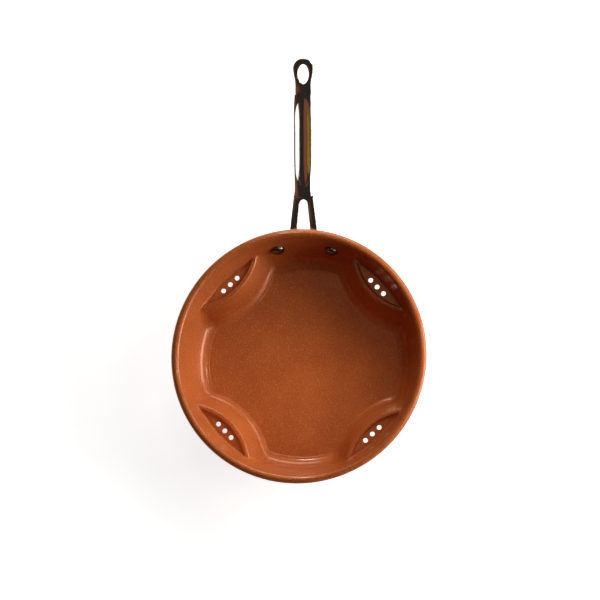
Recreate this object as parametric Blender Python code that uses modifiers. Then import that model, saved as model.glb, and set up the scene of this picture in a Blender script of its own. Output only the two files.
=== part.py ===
"""Copper-coated pan with four pressed corner strainers and a forked steel handle.

Metres, +Z up. The origin is the centre of the base's underside and the handle runs along +Y.
"""

import math

import bmesh
import bpy
import numpy as np
from mathutils import Matrix, Vector

COLLECTION_NAME = "copper_strainer_pan"

# Fits between separate pieces
FIT_GAP = 0.0003
RIVET_HEAD_GAP = 0.0006
MERGE_DISTANCE = 0.00001

# Pan body: one pressed sheet
RIM_RADIUS = 0.130
PAN_DEPTH = 0.052
SHEET = 0.0024
WALL_ANGLE = math.radians(73.3)
FLOOR_FILLET = 0.009
LIP_BEND = 0.0046
LIP_TURN = math.radians(62.0)

# Induction plate under the floor
BASE_PLATE_RADIUS = 0.076
BASE_PLATE_THICKNESS = 0.002
BASE_PLATE_BEVEL = 0.0005

# Corner strainers: a cone pressed into the wall, a shelf on it and a pocket in the shelf
STRAINER_COUNT = 4
SHELF_DEPTH = 0.022
BULGE_REACH = 0.0205
BULGE_TOP_RADIUS = 0.0671
BULGE_ANGLE = math.radians(67.5)
BULGE_FILLET = 0.005
BULGE_EDGE = 0.0014
RIDGE_WIDTH = 0.004
RIDGE_SLOPE_WIDTH = 0.0022
POCKET_STEP = 0.0018
POCKET_SLOPE = 0.05
GUTTER_WIDTH = 0.004
GUTTER_DEPTH = 0.0008
POCKET_FADE = 0.006
POCKET_FILLET = 0.0012
POCKET_BLEND_HEIGHT = 0.006
BROW_DEPTH = 0.0226
BROW_OFFSET = 0.0014
BROW_TOP_DEPTH = 0.006
BROW_HALF_WIDTH = 0.036
DROP_LEAN = 0.30

# Drain holes
DRAIN_HOLES = 3
DRAIN_DIAMETER = 0.0049
DRAIN_PITCH = 0.0095
DRAIN_INSET = 0.0094

# Handle line: leaves the pan under the lip and rises outwards
HANDLE_ANGLE = math.radians(18.5)
HANDLE_DROP = 0.0108

# Bracket: a saddle on the wall and a two-legged fork
FORK_THICKNESS = 0.006
FORK_LENGTH = 0.036
SHOULDER_LENGTH = 0.0023
SHOULDER_HALF_WIDTH = 0.0102
SLOT_ARCH_RADIUS = 0.0039
SLOT_CROWN = 0.0039
LEG_WIDTH = 0.0071
LEG_SPLAY = math.radians(6.2)
LEG_ROOT = 0.012
FORK_BEVEL = 0.0007
TANG_LENGTH = 0.007
TANG_HALF_WIDTH = 0.005
SADDLE_THICKNESS = 0.0026
SADDLE_TOP_DEPTH = 0.0105
SADDLE_HEIGHT = 0.026
SADDLE_MARGIN = 0.0115
SADDLE_CORNER = 0.008

# Rivets
RIVET_SPACING = 0.0548
RIVET_DEPTH = 0.0235
RIVET_SHANK_RADIUS = 0.003
RIVET_HEAD_RADIUS = 0.0071
RIVET_HEAD_HEIGHT = 0.0044
RIVET_TAIL_RADIUS = 0.0055
RIVET_TAIL_HEIGHT = 0.0020

# Grip: two pressed halves around a hollow
GRIP_LENGTH = 0.103
GRIP_SHEET = 0.0014
TOP_SQUARENESS = 6.0
BOTTOM_SQUARENESS = 2.4
# Each station: share of the length from the fork end, half width, half height
GRIP_STATIONS = (
    (0.00, 0.0099, 0.0058),
    (0.055, 0.0091, 0.0058),
    (0.10, 0.0091, 0.0060),
    (0.27, 0.0095, 0.0066),
    (0.62, 0.0097, 0.0068),
    (0.93, 0.0095, 0.0063),
    (1.00, 0.0090, 0.0056),
)
DISH_DEPTH = 0.0030
DISH_HALF_WIDTH = 0.0088
DISH_START = 0.085
DISH_END = 0.97

# Hang ring
RING_THICKNESS = 0.005
RING_BEVEL = 0.0009
RING_NECK_HALF_WIDTH = 0.0082
RING_NECK_LENGTH = 0.0095
RING_HALF_WIDTH = 0.0104
RING_REACH = 0.0364
RING_HOLE_HALF_WIDTH = 0.00545
RING_HOLE_HALF_LENGTH = 0.0099
RING_HOLE_CENTRE = 0.0204

# Fineness of the pan's mesh
PAN_SECTIONS = 80
DENSE_SHARE = 0.7
DENSE_ANGLE = math.radians(24.0)
INNER_ROWS = 25
OUTER_ROWS = 18
LIP_STEPS = 5
SECTION_SAMPLES = 700
TURN_WEIGHT = 0.020
FLOOR_WEIGHT = 0.15
HALVINGS = 34

# Values that follow from the sizes above
FLOOR_TOP = BASE_PLATE_THICKNESS + FIT_GAP + SHEET
CREST = FLOOR_TOP + PAN_DEPTH
LIP_CENTRE_RADIUS = RIM_RADIUS - LIP_BEND * math.sin(LIP_TURN)
LIP_CENTRE_HEIGHT = PAN_DEPTH - LIP_BEND
BEND_RADIUS = LIP_CENTRE_RADIUS - LIP_BEND * math.sin(WALL_ANGLE)
BEND_HEIGHT = LIP_CENTRE_HEIGHT + LIP_BEND * math.cos(WALL_ANGLE)
SHELF_HEIGHT = PAN_DEPTH - SHELF_DEPTH
BROW_HEIGHT = PAN_DEPTH - BROW_DEPTH
BROW_RISE = BROW_DEPTH - BROW_TOP_DEPTH
LENS_RADIUS = BULGE_TOP_RADIUS - RIDGE_WIDTH


def wall_radius(height):
    """Radius of the plain wall at a height above the cooking floor."""
    return BEND_RADIUS + (height - BEND_HEIGHT) / math.tan(WALL_ANGLE)


def outer_wall_radius(height):
    """Radius of the outside of the plain wall at a height above the cooking floor."""
    return wall_radius(height) + SHEET / math.sin(WALL_ANGLE)


SHELF_WALL_RADIUS = wall_radius(SHELF_HEIGHT)
STRAINER_AXIS = SHELF_WALL_RADIUS - BULGE_REACH + BULGE_TOP_RADIUS
DRAIN_RADIUS = SHELF_WALL_RADIUS - DRAIN_INSET
RIVET_HEIGHT = PAN_DEPTH - RIVET_DEPTH
RIVET_ANGLE = math.asin(0.5 * RIVET_SPACING / wall_radius(RIVET_HEIGHT))
HANDLE_FRAME = Matrix.Translation((0.0, RIM_RADIUS, CREST - HANDLE_DROP)) @ Matrix.Rotation(
    HANDLE_ANGLE, 4, "X"
)
GRIP_START = FORK_LENGTH + FIT_GAP
GRIP_END = GRIP_START + GRIP_LENGTH
RING_START = GRIP_END + FIT_GAP


# Scene, materials and small helpers


def clear_scene():
    for obj in list(bpy.data.objects):
        bpy.data.objects.remove(obj, do_unlink=True)


def new_collection(name):
    collection = bpy.data.collections.new(name)
    bpy.context.scene.collection.children.link(collection)
    return collection


def finish_material(name, colour, metallic, roughness):
    material = bpy.data.materials.new(name)
    material.use_nodes = True
    shader = material.node_tree.nodes["Principled BSDF"]
    shader.inputs["Base Color"].default_value = (*colour, 1.0)
    shader.inputs["Metallic"].default_value = metallic
    shader.inputs["Roughness"].default_value = roughness
    material.diffuse_color = (*colour, 1.0)
    return material


def object_from_bmesh(name, bm, collection, material=None):
    """Turn a finished bmesh into an object with outward normals and smooth round faces."""
    bmesh.ops.recalc_face_normals(bm, faces=bm.faces)
    mesh = bpy.data.meshes.new(name)
    bm.to_mesh(mesh)
    bm.free()
    mesh.shade_smooth()
    mesh.set_sharp_from_angle(angle=math.radians(35.0))
    obj = bpy.data.objects.new(name, mesh)
    if material:
        mesh.materials.append(material)
    collection.objects.link(obj)
    return obj


def hide_cutter(obj):
    obj.hide_render = True
    obj.display_type = "WIRE"
    return obj


def add_boolean(obj, tool, operation):
    modifier = obj.modifiers.new(operation.title(), "BOOLEAN")
    modifier.operation = operation
    modifier.object = tool
    modifier.solver = "EXACT"


def smooth_step(value):
    bounded = np.clip(value, 0.0, 1.0)
    return bounded * bounded * (3.0 - 2.0 * bounded)


# Cooking surface: distances whose zero is the surface, positive in the open


def round_inside(first, second, radius):
    """Union of two solids given by their distances, with a fillet in the corner between them."""
    reach = np.hypot(np.maximum(radius - first, 0.0), np.maximum(radius - second, 0.0))
    return np.maximum(np.minimum(first, second), radius) - reach


def round_outside(first, second, radius):
    """Overlap of two solids given by their distances, with a rounded edge where they meet."""
    return -round_inside(-first, -second, radius)


def brow_offset(radius, angle, height):
    """How far the wall over a pocket is drawn inwards: an arch with a steep underside."""
    across = radius * np.sin(angle) / BROW_HALF_WIDTH
    arch = np.sqrt(np.maximum(1.0 - across * across, 0.0))
    above = 1.0 - (height - BROW_HEIGHT) / (BROW_RISE * np.maximum(arch, 0.05))
    below = 1.0 - (BROW_HEIGHT - height) * DROP_LEAN / BROW_OFFSET
    return BROW_OFFSET * arch * np.clip(np.minimum(above, below), 0.0, 1.0)


def shelf_height(distance, radius, angle):
    """Height of the shelf: a ridge round the lens and a pocket that falls to a gutter."""
    inside = LENS_RADIUS - distance
    chord = np.sqrt(np.maximum(LENS_RADIUS**2 - (STRAINER_AXIS * np.sin(angle)) ** 2, 0.0))
    lens_width = SHELF_WALL_RADIUS - (STRAINER_AXIS * np.cos(angle) - chord)
    fade = smooth_step(lens_width / POCKET_FADE)
    step = POCKET_STEP * smooth_step(inside / RIDGE_SLOPE_WIDTH)
    slope = POCKET_SLOPE * np.maximum(inside, 0.0)
    to_wall = SHELF_WALL_RADIUS - BROW_OFFSET - radius
    gutter = GUTTER_DEPTH * smooth_step(1.0 - to_wall / GUTTER_WIDTH)
    gutter = np.where(inside > 0.0, gutter, 0.0)
    return SHELF_HEIGHT - fade * (step + slope + gutter)


def surface_gap(radius, angle, height):
    """Distance from the cooking surface at an angle measured from the nearest strainer."""
    wall = wall_radius(height) - brow_offset(radius, angle, height) - radius
    bowl = round_inside(height, wall * math.sin(WALL_ANGLE), FLOOR_FILLET)
    along = radius * np.cos(angle) - STRAINER_AXIS
    distance = np.hypot(along, radius * np.sin(angle))
    cone_radius = BULGE_TOP_RADIUS + (SHELF_HEIGHT - height) / math.tan(BULGE_ANGLE)
    cone = (distance - cone_radius) * math.sin(BULGE_ANGLE)
    shelf = height - shelf_height(distance, radius, angle)
    bulge = round_outside(cone, shelf, BULGE_EDGE)
    low = smooth_step((SHELF_HEIGHT - height) / POCKET_BLEND_HEIGHT)
    return round_inside(bowl, bulge, POCKET_FILLET + (BULGE_FILLET - POCKET_FILLET) * low)


def surface_heights(radii, angle, level):
    """Height at which the gap equals a level, by halving: 0 inside, minus the sheet outside."""
    low = np.full_like(radii, -2.0 * SHEET)
    high = np.full_like(radii, BEND_HEIGHT)
    for _ in range(HALVINGS):
        middle = 0.5 * (low + high)
        under = surface_gap(radii, angle, middle) < level
        low = np.where(under, middle, low)
        high = np.where(under, high, middle)
    return 0.5 * (low + high)


def lip_arc(bend):
    """Points of the lip's round, from the wall over the crest to the free edge."""
    turns = np.linspace(-WALL_ANGLE, LIP_TURN, 4 * LIP_STEPS)
    return np.column_stack(
        (LIP_CENTRE_RADIUS + bend * np.sin(turns), LIP_CENTRE_HEIGHT + bend * np.cos(turns))
    )


def section_line(angle, offset):
    """Finely sampled section of one side of the sheet, from the axis to the lip's edge."""
    last = BEND_RADIUS + offset * math.sin(WALL_ANGLE)
    radii = np.linspace(0.0, last, SECTION_SAMPLES)
    heights = surface_heights(radii, angle, -offset)
    line = np.column_stack((radii, heights))
    return np.vstack((line[:-1], lip_arc(LIP_BEND - offset)))


def share_out(line, rows):
    """Points along a line, closer together where it turns and far apart over the floor."""
    steps = np.diff(line, axis=0)
    lengths = np.hypot(steps[:, 0], steps[:, 1])
    directions = np.unwrap(np.arctan2(steps[:, 1], steps[:, 0]))
    turning = np.abs(np.gradient(directions))
    weights = np.where(line[1:, 0] < BASE_PLATE_RADIUS, FLOOR_WEIGHT, 1.0)
    measure = np.concatenate(([0.0], np.cumsum(lengths * weights + TURN_WEIGHT * turning)))
    wanted = np.linspace(0.0, measure[-1], rows)
    return np.column_stack([np.interp(wanted, measure, line[:, side]) for side in (0, 1)])


def pan_section(angle):
    """Closed section of the sheet at an angle, inner side first."""
    inner = share_out(section_line(angle, 0.0), INNER_ROWS)
    outer = share_out(section_line(angle, SHEET), OUTER_ROWS)
    return np.vstack((inner, outer[::-1])) + (0.0, FLOOR_TOP)


def strainer_angle(index):
    """Angle of a section from its nearest strainer, with sections closer round the pockets."""
    per_side = PAN_SECTIONS // (2 * STRAINER_COUNT)
    step = abs((index + per_side) % (2 * per_side) - per_side)
    share = step / per_side
    if share <= DENSE_SHARE:
        return DENSE_ANGLE * share / DENSE_SHARE
    rest = (share - DENSE_SHARE) / (1.0 - DENSE_SHARE)
    return DENSE_ANGLE + (math.pi / STRAINER_COUNT - DENSE_ANGLE) * rest


def section_angle(index):
    """Angle of a section round the pan, from the middle of the first strainer."""
    per_strainer = PAN_SECTIONS // STRAINER_COUNT
    nearest = (index + per_strainer // 2) // per_strainer
    side = 1.0 if index >= nearest * per_strainer else -1.0
    middle = math.pi / STRAINER_COUNT + nearest * 2.0 * math.pi / STRAINER_COUNT
    return middle + side * strainer_angle(index)


def spin_profile(profile, steps):
    """Turn a profile of (radius, height) points into a closed surface, rows kept as a layer."""
    bm = bmesh.new()
    row_layer = bm.verts.layers.int.new("row")
    verts = []
    for row, (radius, height) in enumerate(profile):
        vert = bm.verts.new((radius, 0.0, height))
        vert[row_layer] = row
        verts.append(vert)
    edges = [bm.edges.new(pair) for pair in zip(verts, verts[1:])]
    bmesh.ops.spin(
        bm,
        geom=verts + edges,
        axis=(0.0, 0.0, 1.0),
        cent=(0.0, 0.0, 0.0),
        angle=2.0 * math.pi,
        steps=steps,
        use_merge=True,
    )
    return bm, row_layer


def move_to_sections(bm, row_layer):
    """Send each point of the turned sheet to its place on the section at its angle."""
    step = 2.0 * math.pi / PAN_SECTIONS
    shapes = {}
    for vert in bm.verts:
        index = round(math.atan2(vert.co.y, vert.co.x) / step) % PAN_SECTIONS
        bend = round(strainer_angle(index), 9)
        if bend not in shapes:
            shapes[bend] = pan_section(bend)
        radius, height = shapes[bend][vert[row_layer]]
        angle = section_angle(index)
        vert.co = (radius * math.cos(angle), radius * math.sin(angle), height)


def make_pan_body(collection, cutters, material):
    bm, row_layer = spin_profile(pan_section(math.pi / STRAINER_COUNT), PAN_SECTIONS)
    move_to_sections(bm, row_layer)
    bmesh.ops.remove_doubles(bm, verts=bm.verts, dist=MERGE_DISTANCE)
    pan = object_from_bmesh("pan_body", bm, collection, material)
    add_boolean(pan, drain_cutter(cutters), "DIFFERENCE")
    for side in (-1, 1):
        add_boolean(pan, rivet_cutter(cutters, side, "wall"), "DIFFERENCE")
    return pan


def drain_cutter(cutters):
    """All drain holes as upright pins through the pocket floors."""
    bm = bmesh.new()
    for strainer in range(STRAINER_COUNT):
        angle = (strainer + 0.5) * 2.0 * math.pi / STRAINER_COUNT
        for hole in range(DRAIN_HOLES):
            across = (hole - 0.5 * (DRAIN_HOLES - 1)) * DRAIN_PITCH
            place = Matrix.Rotation(angle, 4, "Z") @ Matrix.Translation(
                (DRAIN_RADIUS, across, FLOOR_TOP + SHELF_HEIGHT)
            )
            bmesh.ops.create_cone(
                bm,
                cap_ends=True,
                segments=16,
                radius1=0.5 * DRAIN_DIAMETER,
                radius2=0.5 * DRAIN_DIAMETER,
                depth=8.0 * SHEET,
                matrix=place,
            )
    return hide_cutter(object_from_bmesh("drain_hole_cutter", bm, cutters))


# Base plate


def make_base_plate(collection, material):
    bm = bmesh.new()
    bmesh.ops.create_cone(
        bm,
        cap_ends=True,
        segments=64,
        radius1=BASE_PLATE_RADIUS,
        radius2=BASE_PLATE_RADIUS,
        depth=BASE_PLATE_THICKNESS,
        matrix=Matrix.Translation((0.0, 0.0, 0.5 * BASE_PLATE_THICKNESS)),
    )
    plate = object_from_bmesh("base_plate", bm, collection, material)
    bevel = plate.modifiers.new("Edge", "BEVEL")
    bevel.width = BASE_PLATE_BEVEL
    bevel.segments = 1
    bevel.limit_method = "ANGLE"
    return plate


# Rivets


def rivet_frame(side):
    """Frame at a rivet's place on the cooking side of the wall, with Z pointing into the pan."""
    angle = 0.5 * math.pi - side * RIVET_ANGLE
    radius = wall_radius(RIVET_HEIGHT)
    place = Vector((radius * math.cos(angle), radius * math.sin(angle), FLOOR_TOP + RIVET_HEIGHT))
    inwards = Vector(
        (
            -math.cos(angle) * math.sin(WALL_ANGLE),
            -math.sin(angle) * math.sin(WALL_ANGLE),
            math.cos(WALL_ANGLE),
        )
    )
    turn = inwards.to_track_quat("Z", "Y").to_matrix().to_4x4()
    return Matrix.Translation(place) @ turn


def rivet_cutter(cutters, side, piece):
    bm = bmesh.new()
    bmesh.ops.create_cone(
        bm,
        cap_ends=True,
        segments=24,
        radius1=RIVET_SHANK_RADIUS + FIT_GAP,
        radius2=RIVET_SHANK_RADIUS + FIT_GAP,
        depth=8.0 * (SHEET + SADDLE_THICKNESS),
    )
    cutter = object_from_bmesh(f"{piece}_rivet_cutter_{side}", bm, cutters)
    cutter.matrix_world = rivet_frame(side)
    return hide_cutter(cutter)


def rivet_profile():
    """Half section from the dome inside the pan down to the tail outside the saddle."""
    dome_steps = 5
    points = []
    for step in range(dome_steps + 1):
        turn = 0.5 * math.pi * step / dome_steps
        points.append(
            (
                RIVET_HEAD_RADIUS * math.sin(turn),
                RIVET_HEAD_GAP + RIVET_HEAD_HEIGHT * math.cos(turn),
            )
        )
    tail_top = -(SHEET + SADDLE_THICKNESS + 2.0 * FIT_GAP)
    tail_bottom = tail_top - RIVET_TAIL_HEIGHT
    points += [
        (RIVET_SHANK_RADIUS, RIVET_HEAD_GAP),
        (RIVET_SHANK_RADIUS, tail_top),
        (RIVET_TAIL_RADIUS, tail_top),
        (RIVET_TAIL_RADIUS, tail_top - 0.4 * RIVET_TAIL_HEIGHT),
        (0.6 * RIVET_TAIL_RADIUS, tail_bottom),
        (0.0, tail_bottom),
    ]
    return points


def make_rivet(name, side, collection, material):
    bm, _ = spin_profile(rivet_profile(), 24)
    bmesh.ops.remove_doubles(bm, verts=bm.verts, dist=MERGE_DISTANCE)
    rivet = object_from_bmesh(name, bm, collection, material)
    rivet.matrix_world = rivet_frame(side)
    return rivet


# Bracket


def saddle_object(collection):
    """Plate that follows the outside of the wall, with rounded corners."""
    top = PAN_DEPTH - SADDLE_TOP_DEPTH
    bottom = top - SADDLE_HEIGHT
    lean = SADDLE_THICKNESS / math.sin(WALL_ANGLE)
    inner = [outer_wall_radius(height) + FIT_GAP for height in (top, bottom)]
    half_turn = RIVET_ANGLE + SADDLE_MARGIN / SHELF_WALL_RADIUS
    steps = 12
    bm = bmesh.new()
    corners = (
        (inner[0], top),
        (inner[0] + lean, top),
        (inner[1] + lean, bottom),
        (inner[1], bottom),
    )
    start = 0.5 * math.pi - half_turn
    turn = Matrix.Rotation(start, 4, "Z")
    verts = [bm.verts.new(turn @ Vector((radius, 0.0, FLOOR_TOP + z))) for radius, z in corners]
    first = bm.faces.new(verts)
    result = bmesh.ops.spin(
        bm,
        geom=[first],
        axis=(0.0, 0.0, 1.0),
        cent=(0.0, 0.0, 0.0),
        angle=2.0 * half_turn,
        steps=steps,
    )
    last = [item for item in result["geom_last"] if isinstance(item, bmesh.types.BMFace)]
    caps = {first, *last}
    corner_edges = [
        edge
        for face in caps
        for edge in face.edges
        if abs((edge.verts[0].co - edge.verts[1].co).z) < 1e-6
    ]
    bmesh.ops.bevel(
        bm,
        geom=corner_edges,
        offset=SADDLE_CORNER,
        segments=4,
        profile=0.5,
        affect="EDGES",
        material=-1,
    )
    return object_from_bmesh("handle_bracket", bm, collection)


def fork_outline():
    """Half outlines of the fork in its own plane, from the tang's end down to the leg's end."""
    tangent = math.tan(LEG_SPLAY)
    slot_top = FORK_LENGTH - SLOT_CROWN
    arch_centre = slot_top - SLOT_ARCH_RADIUS
    shoulder = FORK_LENGTH - SHOULDER_LENGTH
    outer = [
        (TANG_HALF_WIDTH, FORK_LENGTH + TANG_LENGTH),
        (TANG_HALF_WIDTH, FORK_LENGTH),
        (SHOULDER_HALF_WIDTH, FORK_LENGTH),
        (SHOULDER_HALF_WIDTH, shoulder),
        (SLOT_ARCH_RADIUS + LEG_WIDTH + (arch_centre + LEG_ROOT) * tangent, -LEG_ROOT),
    ]
    inner = [(SLOT_ARCH_RADIUS + (arch_centre + LEG_ROOT) * tangent, -LEG_ROOT)]
    arch_steps = 6
    for step in range(arch_steps + 1):
        turn = 0.5 * math.pi * step / arch_steps
        inner.append(
            (SLOT_ARCH_RADIUS * math.cos(turn), arch_centre + SLOT_ARCH_RADIUS * math.sin(turn))
        )
    half = outer + inner
    mirrored = [(-x, y) for x, y in reversed(half[:-1])]
    return half + mirrored


def flat_plate(name, outlines, thickness, bevel, collection):
    """Flat plate on the handle line from closed outlines, as a welded mesh."""
    curve = bpy.data.curves.new(name + "_outline", "CURVE")
    curve.dimensions = "2D"
    curve.fill_mode = "BOTH"
    curve.extrude = 0.5 * thickness - bevel
    curve.bevel_depth = bevel
    curve.bevel_resolution = 1
    curve.offset = -bevel
    for outline in outlines:
        spline = curve.splines.new("POLY")
        spline.points.add(len(outline) - 1)
        for point, (x, y) in zip(spline.points, outline):
            point.co = (x, y, 0.0, 1.0)
        spline.use_cyclic_u = True
    source = bpy.data.objects.new(name + "_outline", curve)
    collection.objects.link(source)
    bpy.context.view_layer.update()
    graph = bpy.context.evaluated_depsgraph_get()
    mesh = bpy.data.meshes.new_from_object(source.evaluated_get(graph))
    bm = bmesh.new()
    bm.from_mesh(mesh)
    bmesh.ops.remove_doubles(bm, verts=bm.verts, dist=MERGE_DISTANCE)
    bmesh.ops.triangulate(bm, faces=bm.faces)
    bpy.data.objects.remove(source, do_unlink=True)
    bpy.data.meshes.remove(mesh)
    plate = object_from_bmesh(name, bm, collection)
    plate.matrix_world = HANDLE_FRAME
    return plate


def wall_cutter(cutters):
    """Cone of the outside of the wall, with the gap that the bracket keeps to it."""
    bottom = -FLOOR_TOP
    top = PAN_DEPTH
    bm = bmesh.new()
    bmesh.ops.create_cone(
        bm,
        cap_ends=True,
        segments=240,
        radius1=outer_wall_radius(bottom) + FIT_GAP,
        radius2=outer_wall_radius(top) + FIT_GAP,
        depth=top - bottom,
        matrix=Matrix.Translation((0.0, 0.0, FLOOR_TOP + 0.5 * (top + bottom))),
    )
    return hide_cutter(object_from_bmesh("bracket_wall_cutter", bm, cutters))


def make_bracket(collection, cutters, material):
    bracket = saddle_object(collection)
    bracket.data.materials.append(material)
    fork = flat_plate("fork_tool", [fork_outline()], FORK_THICKNESS, FORK_BEVEL, cutters)
    add_boolean(bracket, hide_cutter(fork), "UNION")
    add_boolean(bracket, wall_cutter(cutters), "DIFFERENCE")
    for side in (-1, 1):
        add_boolean(bracket, rivet_cutter(cutters, side, "saddle"), "DIFFERENCE")
    return bracket


# Grip


def grip_size(share):
    """Half width and half height of the grip at a share of its length."""
    shares, widths, heights = zip(*GRIP_STATIONS)
    return np.interp(share, shares, widths), np.interp(share, shares, heights)


def dish_drop(x, share):
    """How far the thumb groove, a long spoon shape, lowers the top of the grip."""
    middle = 0.5 * (DISH_START + DISH_END)
    along = (share - middle) / (DISH_END - middle)
    spread = math.sqrt(max(1.0 - along**4, 0.0001))
    across = max(1.0 - (x / (spread * DISH_HALF_WIDTH)) ** 2, 0.0)
    return DISH_DEPTH * spread**2 * across


def grip_point(turn, share, side):
    """Point of the grip's outer surface; side is 1 for the top half and -1 for the bottom."""
    half_width, half_height = grip_size(share)
    squareness = TOP_SQUARENESS if side > 0 else BOTTOM_SQUARENESS
    across = abs(math.cos(turn))
    x = half_width * math.cos(turn)
    z = half_height * max(1.0 - across**squareness, 0.0) ** (1.0 / squareness)
    if side > 0:
        z -= dish_drop(x, share) * min(1.0, z / (0.5 * half_height))
    return x, GRIP_START + share * GRIP_LENGTH, side * (z + 0.5 * FIT_GAP)


def make_grip_half(name, side, collection, material):
    """One pressed half: an open surface drawn along the handle and given its sheet."""
    across_steps = 18
    shares = sorted({share for share, _, _ in GRIP_STATIONS} | set(np.linspace(DISH_START, DISH_END, 14)))
    turns = [math.pi * step / across_steps for step in range(across_steps + 1)]
    bm = bmesh.new()
    verts = [bm.verts.new(grip_point(turn, 0.0, side)) for turn in turns]
    chain = [bm.edges.new(pair) for pair in zip(verts, verts[1:])]
    for share in shares[1:]:
        made = bmesh.ops.extrude_edge_only(bm, edges=chain)["geom"]
        row = sorted(
            (item for item in made if isinstance(item, bmesh.types.BMVert)),
            key=lambda vert: -vert.co.x,
        )
        for vert, turn in zip(row, turns):
            vert.co = grip_point(turn, share, side)
        chain = [item for item in made if isinstance(item, bmesh.types.BMEdge)]
    bmesh.ops.recalc_face_normals(bm, faces=bm.faces)
    if sum(face.normal.z for face in bm.faces) * side < 0.0:
        bmesh.ops.reverse_faces(bm, faces=bm.faces)
    bmesh.ops.solidify(bm, geom=bm.faces, thickness=GRIP_SHEET)
    half = object_from_bmesh(name, bm, collection, material)
    half.matrix_world = HANDLE_FRAME
    return half


# Hang ring


def ring_outline():
    """Outline of the end fitting: tang, neck and a round eye."""
    eye_centre = RING_START + RING_REACH - RING_HALF_WIDTH
    half = [
        (TANG_HALF_WIDTH, RING_START - TANG_LENGTH),
        (TANG_HALF_WIDTH, RING_START),
        (RING_NECK_HALF_WIDTH, RING_START),
    ]
    neck_end = RING_START + RING_NECK_LENGTH
    flare_steps = 6
    for step in range(flare_steps):
        share = step / flare_steps
        width = RING_NECK_HALF_WIDTH + (RING_HALF_WIDTH - RING_NECK_HALF_WIDTH) * float(
            smooth_step(share)
        )
        half.append((width, neck_end + share * (eye_centre - neck_end)))
    arc_steps = 9
    for step in range(arc_steps + 1):
        turn = 0.5 * math.pi * step / arc_steps
        half.append(
            (RING_HALF_WIDTH * math.cos(turn), eye_centre + RING_HALF_WIDTH * math.sin(turn))
        )
    return half + [(-x, y) for x, y in reversed(half[:-1])]


def ring_hole():
    steps = 28
    centre = RING_START + RING_HOLE_CENTRE
    points = []
    for step in range(steps):
        turn = 2.0 * math.pi * step / steps
        points.append(
            (
                RING_HOLE_HALF_WIDTH * math.cos(turn),
                centre + RING_HOLE_HALF_LENGTH * math.sin(turn),
            )
        )
    return points


def make_hang_ring(collection, material):
    outlines = [ring_outline(), ring_hole()]
    ring = flat_plate("hang_ring", outlines, RING_THICKNESS, RING_BEVEL, collection)
    ring.data.materials.append(material)
    return ring


def main():
    clear_scene()
    parts = new_collection(COLLECTION_NAME)
    cutters = new_collection("cutters")
    cutters.hide_render = True
    copper = finish_material("copper_coating", (0.42, 0.13, 0.04), 0.35, 0.32)
    steel = finish_material("polished_steel", (0.55, 0.54, 0.53), 1.0, 0.12)
    rivet_steel = finish_material("rivet_steel", (0.30, 0.28, 0.26), 1.0, 0.25)
    plate_steel = finish_material("base_plate_steel", (0.50, 0.50, 0.50), 1.0, 0.35)
    make_pan_body(parts, cutters, copper)
    make_base_plate(parts, plate_steel)
    make_bracket(parts, cutters, steel)
    make_rivet("rivet_left", -1, parts, rivet_steel)
    make_rivet("rivet_right", 1, parts, rivet_steel)
    make_grip_half("grip_top_shell", 1, parts, steel)
    make_grip_half("grip_bottom_shell", -1, parts, steel)
    make_hang_ring(parts, steel)


main()
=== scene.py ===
"""Finished look of the copper-coated strainer pan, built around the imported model.

Everything is in metres in the frame's own axes: +Z up, the handle along +Y, and the origin in the
middle of the base's underside.
"""

import math

import bmesh
import bpy
import numpy as np
from bpy.props import FloatProperty, FloatVectorProperty, IntProperty, PointerProperty
from mathutils import Matrix, Vector


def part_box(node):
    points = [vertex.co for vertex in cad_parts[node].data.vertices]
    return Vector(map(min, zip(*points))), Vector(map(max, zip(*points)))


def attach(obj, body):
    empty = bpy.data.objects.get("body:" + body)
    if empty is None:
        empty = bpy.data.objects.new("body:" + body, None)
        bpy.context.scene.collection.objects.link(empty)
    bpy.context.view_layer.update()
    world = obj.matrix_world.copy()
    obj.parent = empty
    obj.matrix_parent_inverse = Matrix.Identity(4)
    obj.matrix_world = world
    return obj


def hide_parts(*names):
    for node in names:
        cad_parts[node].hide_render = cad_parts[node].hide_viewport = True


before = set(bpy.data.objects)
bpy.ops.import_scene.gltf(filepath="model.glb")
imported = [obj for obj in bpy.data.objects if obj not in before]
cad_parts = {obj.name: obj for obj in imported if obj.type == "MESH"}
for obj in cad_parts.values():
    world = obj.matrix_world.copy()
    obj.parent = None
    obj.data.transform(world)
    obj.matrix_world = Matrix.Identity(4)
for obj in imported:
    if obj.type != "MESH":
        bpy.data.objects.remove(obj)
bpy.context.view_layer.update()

bl_info = {
    "name": "Strainer Pan",
    "version": (1, 0, 0),
    "blender": (4, 5, 0),
    "location": "View3D > Sidebar > Pan",
    "description": "Builds a coated pan with corner strainers and a forked steel handle",
    "category": "Add Mesh",
}

# Places read from the frame
PAN_LOW, PAN_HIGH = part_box("pan_body")
_, PLATE_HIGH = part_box("base_plate")
RIM_RADIUS = PAN_HIGH.x
CREST = PAN_HIGH.z
PLATE_RADIUS = PLATE_HIGH.x
PLATE_THICKNESS = PLATE_HIGH.z

# Layout that isn't for changing
STRAINER_COUNT = 4
DRAIN_HOLES = 3
MERGE_DISTANCE = 0.00001
HALVINGS = 34
SECTION_SAMPLES = 1500
LIP_POINTS = 60
HOLE_SEGMENTS = 32
PLATE_SEGMENTS = 256
WALL_SEGMENTS = 480
RIVET_HOLE_SEGMENTS = 40
RIVET_SEGMENTS = 64
DOME_STEPS = 14
ARC_STEPS = 16
EYE_STEPS = 72
SADDLE_STEPS = 48
SADDLE_CORNER_STEPS = 12
GRIP_ACROSS_STEPS = 64
GRIP_ALONG_STEPS = 90
EDGE_STEPS = 3
BEVEL_RESOLUTION = 4
DRAIN_PIN_REACH = 0.012
RIVET_PIN_REACH = 0.02
SHARP_ANGLE = math.radians(38.0)
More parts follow.
